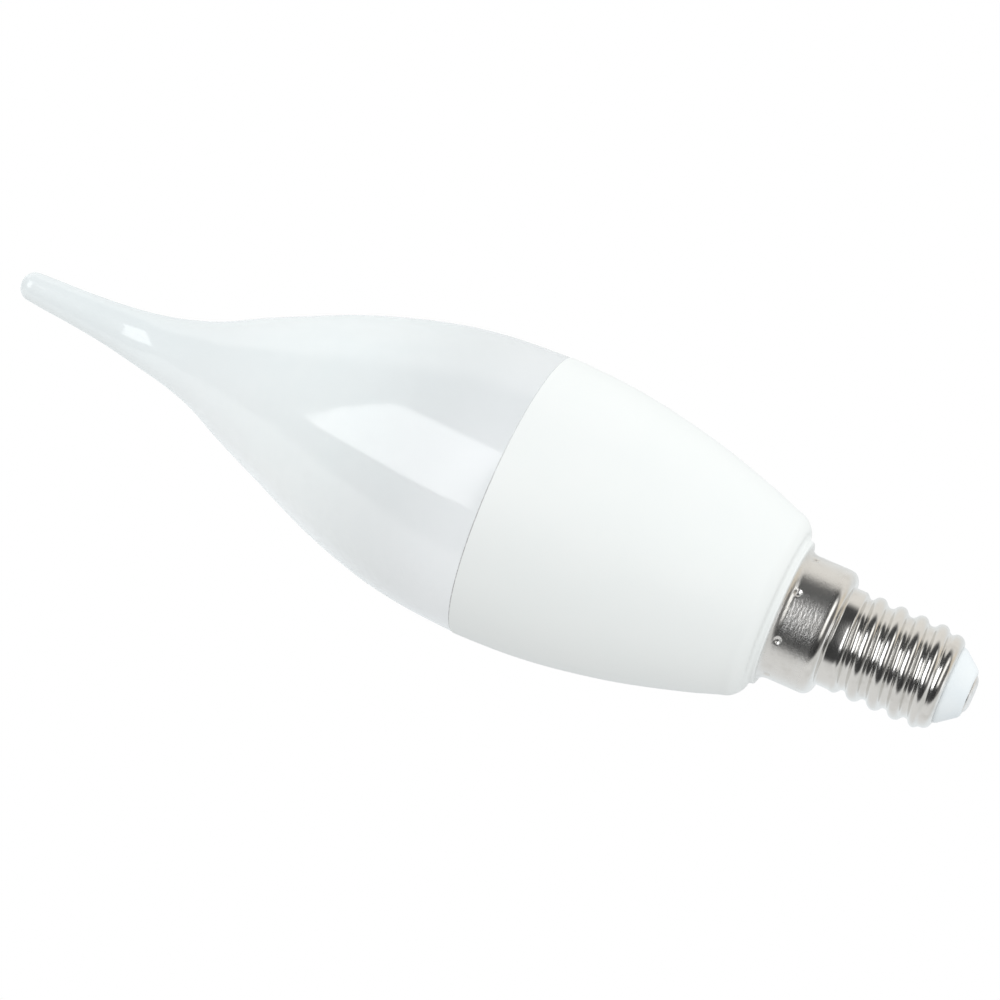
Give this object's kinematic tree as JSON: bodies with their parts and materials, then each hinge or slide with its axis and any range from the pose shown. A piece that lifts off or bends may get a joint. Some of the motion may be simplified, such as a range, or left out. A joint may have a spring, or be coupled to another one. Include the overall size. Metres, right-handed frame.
{
  "type": "candle bulb",
  "caption": "Candle-shaped electric lamp with an opal bent-tail cover, a white tapered housing and a small screw cap.",
  "frame": {"origin": "middle of the centre contact's end face", "axes": "+Z along the lamp from the cap to the tip; the picture looks from the -Y side"},
  "size_m": [0.0386, 0.0386, 0.1352],
  "materials": {
    "opal_cover": "glossy opal white",
    "white_housing": "satin white, very fine moulded texture",
    "nickel_plate": "bright nickel plate on thin sheet",
    "white_insulator": "satin white",
    "nickel_contact": "bright nickel plate"
  },
  "bodies": {
    "root": {"diffuser": "opal_cover", "housing": "white_housing", "screw_shell": "nickel_plate", "cap_insulator": "white_insulator", "centre_contact": "nickel_contact"}
  },
  "joints": []
}
